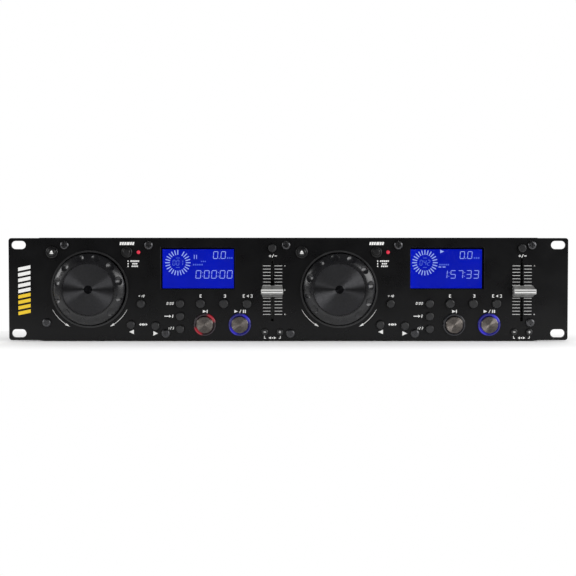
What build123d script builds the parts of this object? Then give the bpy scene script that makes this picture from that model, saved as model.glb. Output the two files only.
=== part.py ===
from build123d import *
import os
from math import cos, radians, sin, sqrt

# Control unit of a twin disc player for a 19 inch rack, two rack units high. A flat steel front panel
# with two rack ears carries two equal decks side by side, and is screwed to a folded steel case that a
# rear cover closes. Each deck has a jog wheel on a bearing, a display, a pitch fader and sixteen push
# buttons over tact switches.
#
# Frame, in millimetres: +X to the right seen from the front, +Y to the rear, +Z up. The origin is the
# middle of the four rack slots, on the panel's rear face, which seats on the rack's rails. The panel's
# front is at negative Y.

# ---- Layout up the panel. The wheels, displays and faders are as tall as the case leaves room for.
case_h = 88.8               # two rack units of 44.45, less a little clearance
display_margin = 8.5        # case top to the display opening
display_to_loop = 12.9      # display opening to the row of loop buttons
loop_to_cue = 18.1          # loop row to the cue and play row
cue_to_bottom = 13.8        # cue row to the case bottom
corner_row_inset = 12.5     # case top to the eject and mode buttons
pitch_inset = 9.0           # case top to the pitch button
bend_inset = 7.5            # bend buttons to the case bottom
function_step = 10.95       # between the function buttons
track_drop = 1.0            # the second track button sits this much lower than the first
gap_pitch_fader = 1.35      # pitch button's flange to the fader body
gap_bend_fader = 1.95       # bend buttons' flanges to the fader body

# ---- Layout across the panel, for one deck, from the left
gap_side_jog = 8.0          # case's side wall to the jog base
gap_jog_corner = 3.947      # jog base to the eject and mode buttons' flanges
gap_mode_lamp = 2.5         # mode button's flange to the lamp's flange
mode_to_skip = 12.0         # mode button to the skip button's column
skip_to_track = 8.8         # skip button's column back to the first track button
track_step = 21.3           # between the two track buttons
function_to_loop = 17.6     # function column to the first loop button
loop_step = 20.05           # from one loop button to the next
cue_offset = 3.6            # first loop button to the cue button's column
cue_to_play = 30.2          # cue button to play button
loop_to_fader = 21.8        # last loop button to the pitch fader
bend_step = 13.0            # between the two bend buttons

# ---- Screw tabs across the panel: gaps from a tab's side to what stands beside it
gap_eject_tab = 0.75        # first deck's eject flange to the upper left tab
gap_lamp_tab = 2.9          # lamp to the upper middle tab
gap_tab_display = 2.05      # that tab to the display module
gap_track_tab = 0.35        # second track button's flange to the lower tab
gap_tab_function = 4.25     # that tab to the function buttons' flanges
gap_pitch_tab = 3.55        # pitch button's flange to the upper tab beside it
gap_tab_eject = 3.35        # that tab to the next deck's eject flange
gap_bend_tab = 1.45         # second bend button's flange to the lower tab beside it
gap_pitch_last_tab = 0.15   # last pitch button's flange to the upper right tab
gap_bend_side_tab = 0.35    # bend buttons' flanges up to the side tabs

# ---- Front panel and rack ears
ear_reach = 16.55           # side of the case to the rack slots' middle
slot_to_end = 8.75          # rack slots' middle to the panel's end
slot_to_edge = 6.0          # rack slots' middle to the panel's long edges
slot_length = 12.4
slot_width = 7.0
ear_step = 0.3              # the case stands this much above and below the panel
panel_t = 2.0
panel_corner_r = 2.4
panel_edge_break = 0.3      # small chamfer round the panel's front edge

# ---- Case and rear cover
case_depth = 66.0
case_t = 1.2
case_corner_r = 1.5
tab_reach = 11.0            # how far a screw tab stands in from the case wall
tab_w = 8.0                 # width of a front tab
rear_tab_w = 12.0
cover_t = 1.2
cover_inset = 0.6           # the cover's outline inside the case's outline
pad_length = 16.0           # rubber pads under the case
pad_width = 9.0
pad_t = 0.6
pad_side_inset = 24.0       # pads' middles to the case sides
pad_end_inset = 9.0         # pads' middles to the case's front and rear edges

# ---- Screws
panel_screw_r = 1.9         # shank, M4
panel_screw_head_r = 3.8
panel_screw_head_h = 2.3
panel_screw_length = 7.0
small_screw_r = 1.45        # shank, M3
small_screw_head_r = 2.75
small_screw_head_h = 1.9
small_screw_length = 6.0
recess_w = 0.8              # arm width of the cross recess
recess_depth = 1.1
screw_clearance = 0.3       # radial, in a plain hole
thread_clearance = 0.05     # radial, in a tapped hole
screw_dome = 0.7            # share of a head's height that its rounded edge takes
recess_reach = 4.2          # the cross recess from end to end
small_recess_reach = 3.0
top_screw_inset = 6.5       # case top to the upper screws
bottom_screw_inset = 6.2    # lower screws to the case bottom
side_screw_inset = 7.3      # side screws to the case side
corner_screw_inset = 6.1    # upper right screw to the case side
cover_screw_inset = 36.0    # outer screws of the rear cover to the case side

# ---- Circuit board and what stands on it
board_t = 1.6
board_side_gap = 4.0        # board's ends to the case's inner walls
board_end_gap = 2.4         # board's long edges to the case's inner walls
standoff_r = 2.5
standoff_bore_spare = 3.6   # bore past the screw's end
standoff_spread = 22.0      # lower standoffs to each side of the jog axis
standoff_gap = 1.0          # display module to the standoff beside it
standoff_drop = 8.9         # that standoff below the display's middle
jog_standoff_gap = 0.4      # jog base to the standoff above it
switch_w = 6.0              # tact switch, square
switch_body_h = 3.5
switch_plunger_r = 1.6
switch_plunger_h = 1.5
hub_hole_gap = 2.5          # the board round the jog's bearing tube

# ---- Push buttons
button_travel = 0.8         # free play and switch travel together
button_clearance = 0.3      # radial, cap in its hole
flange_w = 0.9              # the flange behind the panel is this much wider than the cap
flange_t = 1.0
flange_gap = 0.15           # flange to what it rests behind
stem_r = 1.6
press_gap = 0.05            # stem to switch plunger when pushed right in
cap_proud = 3.0             # cap's front to the panel's front
cap_edge_r = 0.8
function_cap_r = 3.45
loop_cap_r = 3.75
bend_cap_r = 2.75
bend_proud = 2.2
mode_cap_r = 4.6
eject_cap_r = 5.15
rim_proud = 1.6             # the outer rim of the eject and mode caps
rim_w = 1.0
rim_groove_w = 0.6
rim_groove_depth = 0.8

# ---- Cue and play buttons with their light rings
big_cap_r = 7.25
big_cap_proud = 4.4
big_cap_edge = 0.5
big_flange_w = 1.2
big_stem_length = 1.6       # from the flange to the stem's end
ring_lap = 0.85             # light ring's flange past its collar
ring_proud = 2.2
ring_edge = 0.7
ring_collar_wall = 1.25     # collar through the panel
ring_collar_reach = 2.4     # collar's end behind the panel's rear face
ring_fit = 0.15             # collar in the panel's hole

# ---- Jog wheel
wheel_proud = 10.0          # wheel's front to the panel's front
wheel_skirt = 3.0           # skirt's rear end behind the panel's rear face
wheel_wall = 2.2
wheel_plate_t = 4.0
wheel_rim_w = 1.0           # flat rim between the face and the shoulder
shoulder_w = 7.55           # width of the sloping shoulder
shoulder_drop = 4.5
shoulder_bulge = 1.0
dimple_count = 12
dimple_r = 4.1
dimple_depth = 1.3
dimple_phase = {"left": 16.0, "right": 8.0}   # where each wheel stands at rest, in degrees
face_t = 1.2
face_recess = 0.25          # face disc below the wheel's rim
face_gap = 0.2
face_dimple_r = 3.6
face_dimple_depth = 0.4
hub_r = 6.0
shaft_r = 3.0
bearing_clearance = 0.05    # running fit of the shaft, radial
bearing_end_gap = 0.2       # hub and encoder disc to the ends of the bearing tube
wheel_gap = 1.15            # wheel to the bezel round it
bezel_w = 1.5
bezel_proud = 1.0
bezel_collar_wall = 0.8
bezel_collar_reach = 1.2
bezel_fit = 0.1
base_seat_w = 2.4           # width of the base cup's seat against the panel
base_floor_t = 2.0
base_gap = 0.3              # base cup to the bezel's collar
tube_wall = 2.9
tube_front = 2.0            # front end of the bearing tube, behind the panel's rear face
tube_rear_reach = 1.2       # rear end of the tube behind the board's rear face

# ---- Encoder disc and its sensor
encoder_r = 19.0
encoder_t = 1.2
encoder_slots = 24
encoder_slot_w = 1.0
encoder_slot_length = 3.5
encoder_slot_inset = 1.2    # slots' outer ends to the disc's rim
encoder_hub_r = 5.5
encoder_hub_h = 3.0
encoder_fit = 0.01
sensor_w = 6.0
sensor_arm = 4.5            # how far the sensor's arms reach over the disc
sensor_wall = 1.6
sensor_gap = 0.8

# ---- Display
display_w = 63.5
display_edge_break = 0.6    # bevel round the opening's front edge
window_lap = 2.4            # window's edge behind the panel, past the opening
window_t = 1.5
glass_lap = 0.6             # glass cell past the opening
glass_t = 1.6
module_lap = 4.5            # module's frame past the opening
glass_fit = 0.1

# ---- Pitch fader
lever_t = 1.2
lever_h = 6.0               # the lever's size along the travel
slot_side_gap = 0.5         # lever to the panel slot's sides
slot_end_gap = 1.4          # lever to the slot's ends at full travel
channel_w = 9.0
channel_depth = 7.6
channel_wall = 1.0
channel_end = 2.0           # spare length inside the channel past the carriage, each end
carriage_h = 10.0
carriage_gap = 0.25
fader_rest = -0.8           # where the knob stands at rest, from the middle of its travel
knob_w = 18.6               # at the knob's front
knob_rear_w = 16.6
knob_h = 9.8
knob_gap = 3.5              # knob's rear to the panel's front
knob_length = 13.5
knob_skirt = 3.0
knob_ridge_h = 4.2
knob_scoop = 0.7            # how hollow the finger faces are
knob_edge_r = 0.4
knob_socket_depth = 8.0
knob_socket_fit = 0.02

# ---- Mode lamp
lamp_r = 1.5
lamp_tip_r = 0.15           # flat tip of the lamp's dome
lamp_proud = 1.4
lamp_flange_r = 1.9
lamp_flange_reach = 4.0     # front of the lamp's flange behind the panel's rear face
lamp_clearance = 0.1

# ---- Link sockets and their ribbons
socket_z = -8.0
socket_w = 14.0
socket_h = 13.0
socket_depth = 12.5
socket_nose_r = 6.4
socket_nose_proud = 0.8
socket_groove_r = 4.6
socket_core_r = 3.6
socket_groove_depth = 5.0
socket_pin_r = 0.5
socket_pin_circle = 2.3
socket_pins = 8
ribbon_w = 11.0
ribbon_t = 1.0
ribbon_bend_r = 5.0
header_h = 6.0              # header on the board's rear face
header_w = 13.0
header_depth = 5.0
header_drop = 14.0          # headers below the sockets
chip_w = 14.0
chip_t = 2.0

# ---- Places worked out from the sizes above. A name in _dx is a distance from the deck's jog axis.
top = case_h / 2
bottom = -case_h / 2
corner_z = top - corner_row_inset
pitch_z = top - pitch_inset
bend_z = bottom + bend_inset
cue_z = bottom + cue_to_bottom
loop_z = cue_z + loop_to_cue
display_h = case_h - display_margin - display_to_loop - loop_to_cue - cue_to_bottom
display_z = top - display_margin - display_h / 2

function_flange_r = function_cap_r + flange_w
bend_flange_r = bend_cap_r + flange_w
eject_flange_r = eject_cap_r + flange_w
side_tab_z = bend_z + bend_flange_r + gap_bend_side_tab + tab_w / 2
standoff_z = top - case_t - board_end_gap - standoff_r

base_out_r = standoff_z - standoff_r - jog_standoff_gap
base_in_r = base_out_r - base_seat_w
bezel_collar_r = base_in_r - base_gap
bezel_in_r = bezel_collar_r - bezel_collar_wall
bezel_out_r = bezel_in_r + bezel_w
jog_hole_r = bezel_collar_r + bezel_fit
wheel_r = bezel_in_r - wheel_gap
pocket_r = wheel_r - shoulder_w - wheel_rim_w
face_r = pocket_r - face_gap

corner_reach = base_out_r + gap_jog_corner + eject_flange_r
mode_dx = sqrt(corner_reach**2 - corner_z**2)
lamp_dx = mode_dx + mode_cap_r + flange_w + gap_mode_lamp + lamp_flange_r
middle_tab_dx = lamp_dx + lamp_flange_r + gap_lamp_tab + tab_w / 2
display_dx = middle_tab_dx + tab_w / 2 + gap_tab_display + module_lap + display_w / 2
skip_dx = mode_dx + mode_to_skip
track_dx = skip_dx - skip_to_track
low_tab_dx = track_dx + track_step + function_flange_r + gap_track_tab + tab_w / 2
function_dx = low_tab_dx + tab_w / 2 + gap_tab_function + function_flange_r
loop_dx = function_dx + function_to_loop
cue_dx = loop_dx + cue_offset
fader_dx = loop_dx + 2 * loop_step + loop_to_fader
pitch_tab_dx = fader_dx + function_flange_r + gap_pitch_tab + tab_w / 2
bend_tab_dx = fader_dx + bend_step / 2 + bend_flange_r + gap_bend_tab + tab_w / 2
deck_pitch = pitch_tab_dx + tab_w / 2 + gap_tab_eject + eject_flange_r + mode_dx

jog_inset = case_t + gap_side_jog + base_out_r
fader_inset = function_flange_r + gap_pitch_last_tab + tab_w / 2 + corner_screw_inset
case_w = jog_inset + deck_pitch + fader_dx + fader_inset
left = -case_w / 2
right = case_w / 2
jog_x = {"left": left + jog_inset, "right": left + jog_inset + deck_pitch}
socket_x = {"left": -deck_pitch / 2, "right": deck_pitch / 2}

slot_x = right + ear_reach
panel_w = 2 * (slot_x + slot_to_end)
panel_h = case_h - 2 * ear_step
slot_z = panel_h / 2 - slot_to_edge
panel_front = -panel_t
cover_rear = case_depth + cover_t

ring_collar_in_r = big_cap_r + button_clearance
ring_collar_r = ring_collar_in_r + ring_collar_wall
ring_r = ring_collar_r + ring_lap
big_flange_y = ring_collar_reach + flange_gap
stem_end = big_flange_y + flange_t + big_stem_length
plunger_y = stem_end + button_travel + press_gap
board_front = plunger_y + switch_plunger_h + switch_body_h
board_rear = board_front + board_t

rim_y = panel_front - wheel_proud
pocket_y = rim_y + face_recess + face_t
tube_bore_r = shaft_r + bearing_clearance
tube_r = tube_bore_r + tube_wall
tube_rear = board_rear + tube_rear_reach
encoder_front = tube_rear + bearing_end_gap

channel_top = pitch_z - function_flange_r - gap_pitch_fader
channel_bottom = bend_z + bend_flange_r + gap_bend_fader
channel_length = channel_top - channel_bottom
fader_z = (channel_top + channel_bottom) / 2
fader_travel = channel_length - carriage_h - 2 * (channel_end + channel_wall)
fader_slot_h = fader_travel + lever_h + 2 * slot_end_gap
carriage_y = board_front - channel_depth + channel_wall + carriage_gap
carriage_rear = board_front - channel_wall - carriage_gap
knob_rear = panel_front - knob_gap


# ---- Building blocks: everything stands along Y, and sketches lie in the X-Z plane
def slab(sketch, y0, y1):
    """A sketch in X and Z, made solid from y0 back to y1."""
    return extrude(Plane.XZ.offset(-y1) * sketch, amount=y1 - y0)


def disc(radius, y0, y1, x=0.0, z=0.0):
    """A round bar along Y."""
    return slab(Pos(x, z) * Circle(radius), y0, y1)


def tube(outer, inner, y0, y1):
    """A round tube along Y, on the Y axis."""
    return slab(Circle(outer) - Circle(inner), y0, y1)


def block(width, height, y0, y1, x=0.0, z=0.0):
    """A square bar along Y."""
    return slab(Pos(x, z) * Rectangle(width, height), y0, y1)


def write(name, *shapes):
    """Writes one node, as many solids as it has, to its own file."""
    solids = [solid for shape in shapes for solid in shape.solids()]
    export_step(Compound(children=solids) if len(solids) > 1 else solids[0], f"parts/{name}.step")


# ---- Where things are
def button_list(deck):
    """Every small button of a deck: name, x, z, cap radius and what the cap is like."""
    x0 = jog_x[deck]
    function_x = x0 + function_dx
    loop_x = x0 + loop_dx
    fader_x = x0 + fader_dx
    return [
        ("eject", x0 - mode_dx, corner_z, eject_cap_r, "rimmed"),
        ("mode", x0 + mode_dx, corner_z, mode_cap_r, "rimmed"),
        ("skip_ten", x0 + skip_dx, loop_z, function_cap_r, "plain"),
        ("track_back", x0 + track_dx, cue_z, function_cap_r, "plain"),
        ("track_next", x0 + track_dx + track_step, cue_z - track_drop, function_cap_r, "plain"),
        ("time", function_x, loop_z, function_cap_r, "plain"),
        ("single", function_x, loop_z - function_step, function_cap_r, "plain"),
        ("program", function_x, loop_z - 2 * function_step, function_cap_r, "plain"),
        ("loop_in", loop_x, loop_z, loop_cap_r, "plain"),
        ("loop_out", loop_x + loop_step, loop_z, loop_cap_r, "plain"),
        ("reloop", loop_x + 2 * loop_step, loop_z, loop_cap_r, "plain"),
        ("pitch", fader_x, pitch_z, function_cap_r, "plain"),
        ("bend_minus", fader_x - bend_step / 2, bend_z, bend_cap_r, "low"),
        ("bend_plus", fader_x + bend_step / 2, bend_z, bend_cap_r, "low"),
    ]


def big_button_list(deck):
    """The cue and play buttons of a deck: name, x, z."""
    cue_x = jog_x[deck] + cue_dx
    return [("cue", cue_x, cue_z), ("play", cue_x + cue_to_play, cue_z)]


def panel_screw_places():
    """The ten screws that hold the panel to the case's tabs, each with the wall that its tab grows from."""
    high_z = top - top_screw_inset
    low_z = bottom + bottom_screw_inset
    places = [
        (jog_x["left"] - mode_dx + eject_flange_r + gap_eject_tab + tab_w / 2, high_z, "top"),
        (jog_x["left"] + pitch_tab_dx, high_z, "top"),
        (right - corner_screw_inset, high_z, "top"),
        (jog_x["left"] + bend_tab_dx, low_z, "bottom"),
        (left + side_screw_inset, side_tab_z, "left"),
        (right - side_screw_inset, side_tab_z, "right"),
    ]
    for x0 in jog_x.values():
        places += [(x0 + middle_tab_dx, high_z, "top"), (x0 + low_tab_dx, low_z, "bottom")]
    return places


def cover_screw_places():
    """The eight screws of the rear cover, with the wall of each one's tab."""
    across = right - cover_screw_inset
    places = [(left + side_screw_inset, 0, "left"), (right - side_screw_inset, 0, "right")]
    for x in (-across, 0, across):
        places += [(x, top - top_screw_inset, "top"), (x, bottom + bottom_screw_inset, "bottom")]
    return places


def standoff_places():
    """The twelve standoffs, in the gaps between the controls of both decks."""
    between_dx = (function_dx + function_flange_r + cue_dx - ring_r) / 2
    beside_dx = display_dx + display_w / 2 + module_lap + standoff_gap + standoff_r
    places = []
    for x0 in jog_x.values():
        places += [
            (x0, standoff_z),
            (x0 - standoff_spread, -standoff_z),
            (x0 + standoff_spread, -standoff_z),
            (x0 + skip_dx, (loop_z + corner_z) / 2),
            (x0 + between_dx, -standoff_z),
            (x0 + beside_dx, display_z - standoff_drop),
        ]
    return places


# ---- Sheet metal
def front_panel():
    """The flat panel with its rack slots and a hole for everything that shows."""
    sketch = RectangleRounded(panel_w, panel_h, panel_corner_r)
    for x in (-slot_x, slot_x):
        for z in (-slot_z, slot_z):
            sketch -= Pos(x, z) * SlotOverall(slot_length, slot_width)
    for x, z, _ in panel_screw_places():
        sketch -= Pos(x, z) * Circle(panel_screw_r + screw_clearance)
    for deck, x0 in jog_x.items():
        sketch -= Pos(x0, 0) * Circle(jog_hole_r)
        sketch -= Pos(x0 + display_dx, display_z) * Rectangle(display_w, display_h)
        sketch -= Pos(x0 + fader_dx, fader_z) * Rectangle(lever_t + 2 * slot_side_gap, fader_slot_h)
        sketch -= Pos(x0 + lamp_dx, corner_z) * Circle(lamp_r + lamp_clearance)
        for _, x, z, cap_r, _ in button_list(deck):
            sketch -= Pos(x, z) * Circle(cap_r + button_clearance)
        for _, x, z in big_button_list(deck):
            sketch -= Pos(x, z) * Circle(ring_collar_r + ring_fit)
    panel = slab(sketch, panel_front, 0)
    front = panel.faces().sort_by(Axis.Y)[0]
    panel = chamfer(front.outer_wire().edges(), panel_edge_break)
    behind_bevel = Plane.XZ.offset(-panel_front - display_edge_break)
    for x0 in jog_x.values():
        opening = Pos(x0 + display_dx, display_z) * Rectangle(display_w, display_h)
        panel -= extrude(behind_bevel * opening, amount=display_edge_break, taper=-45)
    return panel


def tab(x, z, wall, width, hole_r, y0, y1):
    """A screw tab that stands in from one wall of the case, round the screw at x, z."""
    reach_x = {"left": left, "right": right}.get(wall)
    reach_z = {"top": top, "bottom": bottom}.get(wall)
    if reach_z is not None:
        inner = reach_z - tab_reach if reach_z > 0 else reach_z + tab_reach
        plate = Pos(x, (reach_z + inner) / 2) * Rectangle(width, tab_reach)
    else:
        inner = reach_x - tab_reach if reach_x > 0 else reach_x + tab_reach
        plate = Pos((reach_x + inner) / 2, z) * Rectangle(tab_reach, width)
    return slab(plate - Pos(x, z) * Circle(hole_r), y0, y1)


def case_shell():
    """The folded sleeve: four walls, with screw tabs at its front and rear edges."""
    outer = RectangleRounded(case_w, case_h, case_corner_r)
    inner = Rectangle(case_w - 2 * case_t, case_h - 2 * case_t)
    shell = slab(outer - inner, 0, case_depth)
    clip = slab(outer, 0, case_depth)
    tapped = panel_screw_r + thread_clearance
    for x, z, wall in panel_screw_places():
        shell += tab(x, z, wall, tab_w, tapped, 0, case_t) & clip
    tapped = small_screw_r + thread_clearance
    for x, z, wall in cover_screw_places():
        shell += tab(x, z, wall, rear_tab_w, tapped, case_depth - case_t, case_depth) & clip
    return shell


def rear_cover():
    """The plate that closes the case, with its screw holes and the two socket holes."""
    sketch = RectangleRounded(case_w - 2 * cover_inset, case_h - 2 * cover_inset, case_corner_r)
    for x, z, _ in cover_screw_places():
        sketch -= Pos(x, z) * Circle(small_screw_r + screw_clearance)
    for x in socket_x.values():
        sketch -= Pos(x, socket_z) * Circle(socket_nose_r + screw_clearance)
    return slab(sketch, case_depth, cover_rear)


def base_pads():
    """The four thin pads that the case stands on when it is on a table."""
    one = Box(pad_length, pad_width, pad_t)
    z = bottom - pad_t / 2
    across = right - pad_side_inset
    rows = (pad_end_inset, case_depth - pad_end_inset)
    return [Pos(x, y, z) * one for x in (-across, across) for y in rows]


# ---- Screws and standoffs
def screw(shank_r, head_r, head_h, length, reach):
    """A pan head screw along +Y, with its head's seat at y = 0 and a cross recess in its head."""
    head = disc(head_r, -head_h, 0)
    head = fillet(head.edges().sort_by(Axis.Y)[0], head_h * screw_dome)
    cross = block(reach, recess_w, -head_h, -head_h + recess_depth)
    cross += block(recess_w, reach, -head_h, -head_h + recess_depth)
    return head + disc(shank_r, 0, length) - cross


def panel_screws():
    """The screws that hold the panel to the case, whose heads show on the front."""
    one = screw(panel_screw_r, panel_screw_head_r, panel_screw_head_h, panel_screw_length, recess_reach)
    return [Pos(x, panel_front, z) * one for x, z, _ in panel_screw_places()]


def small_screws():
    """The screws of the board and of the rear cover, which all go in from the rear."""
    screw_in = screw(
        small_screw_r, small_screw_head_r, small_screw_head_h, small_screw_length, small_recess_reach
    )
    one = Rot(0, 0, 180) * screw_in
    board = [Pos(x, board_rear, z) * one for x, z in standoff_places()]
    cover = [Pos(x, cover_rear, z) * one for x, z, _ in cover_screw_places()]
    return board + cover


def board_standoffs():
    bore_end = board_rear - small_screw_length - standoff_bore_spare
    bore = disc(small_screw_r + thread_clearance, bore_end, board_front)
    one = disc(standoff_r, 0, board_front) - bore
    return [Pos(x, 0, z) * one for x, z in standoff_places()]


# ---- Circuit board
def control_board():
    """The board and, as separate solids, the chips, headers and sensors soldered to its rear face."""
    inner_w = case_w - 2 * (case_t + board_side_gap)
    inner_h = case_h - 2 * (case_t + board_end_gap)
    sketch = Rectangle(inner_w, inner_h)
    for x, z in standoff_places():
        sketch -= Pos(x, z) * Circle(small_screw_r + screw_clearance)
    for x0 in jog_x.values():
        sketch -= Pos(x0, 0) * Circle(tube_r + hub_hole_gap)
    parts = [slab(sketch, board_front, board_rear)]
    for deck, x0 in jog_x.items():
        parts.append(Pos(x0, 0, 0) * encoder_sensor())
        parts.append(block(chip_w, chip_w, board_rear, board_rear + chip_t, x0 + function_dx, display_z))
        parts.append(board_header(socket_x[deck]))
    return parts


def encoder_sensor():
    """A forked light sensor that stands over the encoder disc's rim, below the jog axis."""
    arm_y = encoder_front + encoder_t + sensor_gap
    outer = encoder_r + sensor_gap + sensor_wall
    inner = encoder_r - sensor_arm
    body = block(sensor_w, outer - inner, board_rear, arm_y + sensor_wall, 0, -(outer + inner) / 2)
    mouth_h = encoder_r + sensor_gap - inner
    return body - block(sensor_w, mouth_h, encoder_front - sensor_gap, arm_y, 0, -inner - mouth_h / 2)


def board_header(x):
    """The header that a link ribbon plugs into."""
    return block(header_w, header_h, board_rear, board_rear + header_depth, x, socket_z - header_drop)


def tact_switches():
    """One switch under every button: a square body on the board and a round plunger."""
    body = block(switch_w, switch_w, board_front - switch_body_h, board_front)
    one = body + disc(switch_plunger_r, plunger_y, board_front - switch_body_h)
    places = []
    for deck in jog_x:
        places += [(x, z) for _, x, z, _, _ in button_list(deck)]
        places += [(x, z) for _, x, z in big_button_list(deck)]
    return [Pos(x, 0, z) * one for x, z in places]


# ---- Buttons
def plain_cap(cap_r, proud):
    """A round cap with a flange behind the panel and a stem down to its switch."""
    cap = disc(cap_r, panel_front - proud, flange_gap)
    cap = fillet(cap.edges().sort_by(Axis.Y)[0], cap_edge_r)
    cap += disc(cap_r + flange_w, flange_gap, flange_gap + flange_t)
    return cap + disc(stem_r, flange_gap + flange_t, stem_end)


def rimmed_cap(cap_r):
    """A wide cap whose middle disc stands out of a low rim, with a groove between them."""
    rim_front = panel_front - rim_proud
    disc_r = cap_r - rim_w - rim_groove_w
    cap = plain_cap(cap_r, rim_proud)
    groove = slab(Circle(disc_r + rim_groove_w) - Circle(disc_r), rim_front, rim_front + rim_groove_depth)
    middle = disc(disc_r, panel_front - cap_proud, rim_front + rim_groove_depth)
    middle = fillet(middle.edges().sort_by(Axis.Y)[0], cap_edge_r)
    return cap - groove + middle


def small_button(cap_r, style):
    if style == "rimmed":
        return rimmed_cap(cap_r)
    return plain_cap(cap_r, bend_proud if style == "low" else cap_proud)


def big_button():
    """The metal-faced cue or play button, held behind the collar of its light ring."""
    cap = disc(big_cap_r, panel_front - big_cap_proud, big_flange_y)
    cap = chamfer(cap.edges().sort_by(Axis.Y)[0], big_cap_edge)
    cap += disc(big_cap_r + big_flange_w, big_flange_y, big_flange_y + flange_t)
    return cap + disc(stem_r, big_flange_y + flange_t, stem_end)


def light_rings():
    """The clear rings round the cue and play buttons: a flange on the panel and a collar through it."""
    front = panel_front - ring_proud
    flange = slab(Circle(ring_r) - Circle(ring_collar_in_r), front, panel_front)
    edges = flange.edges().filter_by(GeomType.CIRCLE).sort_by(Axis.Y)[:2].sort_by(SortBy.RADIUS)
    flange = fillet(edges[-1], ring_edge)
    ring = flange + tube(ring_collar_r, ring_collar_in_r, panel_front, ring_collar_reach)
    return [Pos(x, 0, z) * ring for deck in jog_x for _, x, z in big_button_list(deck)]


def mode_lamps():
    """The red lamps, each a domed body with a flange and a holder down to the board."""
    front = panel_front - lamp_proud
    body = disc(lamp_r, front, lamp_flange_reach)
    body = fillet(body.edges().sort_by(Axis.Y)[0], lamp_r - lamp_tip_r)
    body += disc(lamp_flange_r, lamp_flange_reach, board_front)
    return [Pos(x0 + lamp_dx, 0, corner_z) * body for x0 in jog_x.values()]


# ---- Jog wheel
def shoulder_middle():
    """The middle of the shoulder's arc as (radius, y), and the way out of it."""
    slope = sqrt(shoulder_w**2 + shoulder_drop**2)
    out = (shoulder_drop / slope, -shoulder_w / slope)
    middle_r = wheel_r - shoulder_w / 2 + shoulder_bulge * out[0]
    middle_y = rim_y + shoulder_drop / 2 + shoulder_bulge * out[1]
    return (middle_r, middle_y), out


def jog_wheel(deck):
    """The moulded wheel: face pocket, shoulder with finger dimples, skirt, hub and shaft."""
    (middle_r, middle_y), out = shoulder_middle()
    under_y = pocket_y + wheel_plate_t
    hub_end = tube_front - bearing_end_gap
    shaft_end = encoder_front + encoder_hub_h
    inner_r = wheel_r - wheel_wall
    before = Polyline((0, pocket_y), (pocket_r, pocket_y), (pocket_r, rim_y), (wheel_r - shoulder_w, rim_y))
    edge = (wheel_r, rim_y + shoulder_drop)
    shoulder = ThreePointArc((wheel_r - shoulder_w, rim_y), (middle_r, middle_y), edge)
    after = Polyline(
        edge, (wheel_r, wheel_skirt), (inner_r, wheel_skirt), (inner_r, under_y), (hub_r, under_y),
        (hub_r, hub_end), (shaft_r, hub_end), (shaft_r, shaft_end), (0, shaft_end), (0, pocket_y),
    )
    wheel = revolve(make_face(before + shoulder + after), Axis.Y)
    ball_r = (dimple_r**2 + dimple_depth**2) / (2 * dimple_depth)
    lift = ball_r - dimple_depth
    ball_at = (middle_r + lift * out[0], middle_y + lift * out[1])
    for i in range(dimple_count):
        turn = radians(dimple_phase[deck] + 360 * i / dimple_count)
        wheel -= Pos(ball_at[0] * cos(turn), ball_at[1], ball_at[0] * sin(turn)) * Sphere(ball_r)
    return Pos(jog_x[deck], 0, 0) * wheel


def jog_face(deck):
    """The thin turned disc in the wheel's pocket, with a small hollow in its middle."""
    front = rim_y + face_recess
    plate = disc(face_r, front, front + face_t) - disc(face_dimple_r, front, front + face_dimple_depth)
    return Pos(jog_x[deck], 0, 0) * plate


def jog_bezels():
    """The thin rings round the wheels: a lip on the panel and a collar through its hole."""
    ring = tube(bezel_out_r, bezel_in_r, panel_front - bezel_proud, panel_front)
    ring += tube(bezel_collar_r, bezel_in_r, panel_front, bezel_collar_reach)
    return [Pos(x0, 0, 0) * ring for x0 in jog_x.values()]


def jog_bases():
    """The cups between panel and board whose bearing tubes carry the wheels' shafts."""
    cup = tube(base_out_r, base_in_r, 0, board_front)
    cup += tube(base_out_r, tube_bore_r, board_front - base_floor_t, board_front)
    cup += tube(tube_r, tube_bore_r, tube_front, tube_rear)
    return [Pos(x0, 0, 0) * cup for x0 in jog_x.values()]


def encoder_disc(deck):
    """The slotted disc behind the board, pressed on the shaft's end."""
    bore = shaft_r + encoder_fit
    plate = Circle(encoder_r) - Circle(bore)
    slot_r = encoder_r - encoder_slot_inset - encoder_slot_length / 2
    for i in range(encoder_slots):
        turn = Rot(0, 0, 360 * i / encoder_slots)
        plate -= turn * Pos(slot_r, 0) * Rectangle(encoder_slot_length, encoder_slot_w)
    hub = tube(encoder_hub_r, bore, encoder_front, encoder_front + encoder_hub_h)
    return Pos(jog_x[deck], 0, 0) * (slab(plate, encoder_front, encoder_front + encoder_t) + hub)


# ---- Display
def display_windows():
    pane = block(display_w + 2 * window_lap, display_h + 2 * window_lap, 0, window_t)
    return [Pos(x0 + display_dx, 0, display_z) * pane for x0 in jog_x.values()]


def display_glasses():
    """The liquid-crystal cells, set into the fronts of the modules."""
    pane = block(display_w + 2 * glass_lap, display_h + 2 * glass_lap, window_t, window_t + glass_t)
    return [Pos(x0 + display_dx, 0, display_z) * pane for x0 in jog_x.values()]


def display_modules():
    """The frames with the backlights, between window and board, each with a seat for its glass."""
    frame = block(display_w + 2 * module_lap, display_h + 2 * module_lap, window_t, board_front)
    seat_w = display_w + 2 * (glass_lap + glass_fit)
    seat_h = display_h + 2 * (glass_lap + glass_fit)
    frame -= block(seat_w, seat_h, window_t, window_t + glass_t)
    return [Pos(x0 + display_dx, 0, display_z) * frame for x0 in jog_x.values()]


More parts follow.
